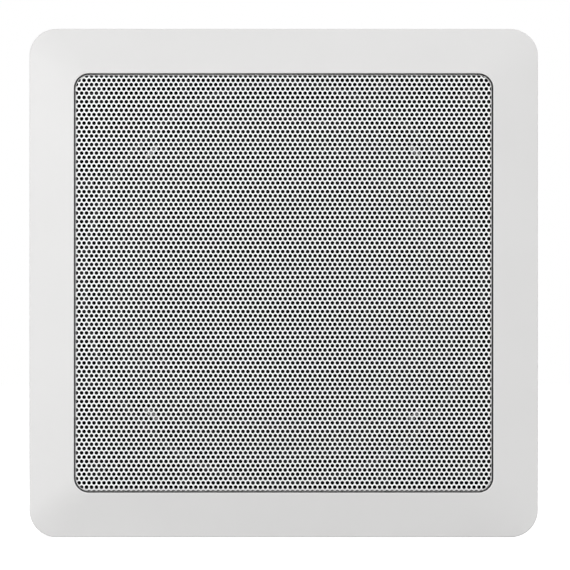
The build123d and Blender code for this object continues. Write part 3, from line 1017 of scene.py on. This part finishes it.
def camera_white(tree, lit, white):
    """Shows one shader to the camera and to mirror rays, and another to the rest of the light."""
    path = put(tree, "ShaderNodeLightPath")
    seen = put(
        tree,
        "ShaderNodeMath",
        {"operation": "MAXIMUM"},
        {0: path.outputs["Is Camera Ray"], 1: path.outputs["Is Glossy Ray"]},
    )
    seen = put(
        tree,
        "ShaderNodeMath",
        {"operation": "MAXIMUM"},
        {0: seen.outputs["Value"], 1: path.outputs["Is Transmission Ray"]},
    )
    mix = put(tree, "ShaderNodeMixShader")
    tree.links.new(seen.outputs["Value"], mix.inputs[0])
    tree.links.new(lit, mix.inputs[1])
    tree.links.new(white, mix.inputs[2])
    return mix.outputs["Shader"]


def make_world():
    """Even white surroundings, at full white only where they are seen."""
    world = bpy.data.worlds.new("studio")
    bpy.context.scene.world = world
    world.use_nodes = True
    tree = world.node_tree
    tree.nodes.clear()
    sky = put(tree, "ShaderNodeBackground", inputs={"Color": (1, 1, 1, 1), "Strength": sky_level})
    white = put(tree, "ShaderNodeBackground", inputs={"Color": (1, 1, 1, 1), "Strength": 1.0})
    shown = camera_white(tree, sky.outputs["Background"], white.outputs["Background"])
    out = put(tree, "ShaderNodeOutputWorld")
    tree.links.new(shown, out.inputs["Surface"])


def make_floor():
    """A pale floor under the speaker that keeps its shadow."""
    low, _ = cad_box
    half = floor_size * mm / 2
    mesh = bpy.data.meshes.new("floor")
    corners = [(-half, -half, low.z), (half, -half, low.z), (half, half, low.z), (-half, half, low.z)]
    mesh.from_pydata(corners, [], [(0, 1, 2, 3)])
    floor = bpy.data.objects.new("floor", mesh)
    bpy.context.scene.collection.objects.link(floor)
    material = bpy.data.materials.new("pale_floor")
    material.use_nodes = True
    tree = material.node_tree
    tree.nodes.clear()
    plain = put(tree, "ShaderNodeBsdfDiffuse", inputs={"Color": (floor_tone, floor_tone, floor_tone, 1)})
    glow = put(tree, "ShaderNodeEmission", inputs={"Color": (1, 1, 1, 1), "Strength": floor_glow})
    both = put(tree, "ShaderNodeAddShader")
    tree.links.new(plain.outputs["BSDF"], both.inputs[0])
    tree.links.new(glow.outputs["Emission"], both.inputs[1])
    shown = camera_white(tree, plain.outputs["BSDF"], both.outputs["Shader"])
    out = put(tree, "ShaderNodeOutputMaterial")
    tree.links.new(shown, out.inputs["Surface"])
    mesh.materials.append(material)


def make_lamp(lamp):
    """A soft square lamp that faces the speaker."""
    light = bpy.data.lights.new(lamp["name"], "AREA")
    light.shape = "SQUARE"
    light.size = lamp["size"] * mm
    light.energy = lamp["power"]
    turn = math.radians(lamp["turn"])
    rise = math.radians(lamp["rise"])
    level = math.cos(rise)
    towards = Vector((math.sin(turn) * level, -math.cos(turn) * level, math.sin(rise)))
    stand = bpy.data.objects.new(lamp["name"], light)
    stand.location = towards * lamp["distance"] * mm
    stand.rotation_euler = towards.to_track_quat("Z", "Y").to_euler()
    bpy.context.scene.collection.objects.link(stand)


def make_camera():
    """A long lens straight in front, framed as in the photograph."""
    low, high = node_box("bezel")
    pixel = (high.x - low.x) / bezel_pixels
    picture_centre = photo_pixels / 2
    lens = bpy.data.cameras.new("camera")
    lens.sensor_width = sensor_width
    lens.lens = sensor_width * camera_distance / (photo_pixels * pixel)
    lens.clip_end = camera_reach * mm
    camera = bpy.data.objects.new("camera", lens)
    camera.location = (
        (picture_centre - bezel_centre_pixel[0]) * pixel * mm,
        (low.y - camera_distance) * mm,
        (bezel_centre_pixel[1] - picture_centre) * pixel * mm,
    )
    camera.rotation_euler = (quarter_turn, 0, 0)
    bpy.context.scene.collection.objects.link(camera)
    bpy.context.scene.camera = camera


dress_nodes()
make_grille()
make_surround()
make_spider()
make_front_gasket()
make_clamp_screws()
make_world()
make_floor()
for lamp in lamps:
    make_lamp(lamp)
make_camera()
bpy.context.scene.view_settings.view_transform = "Standard"
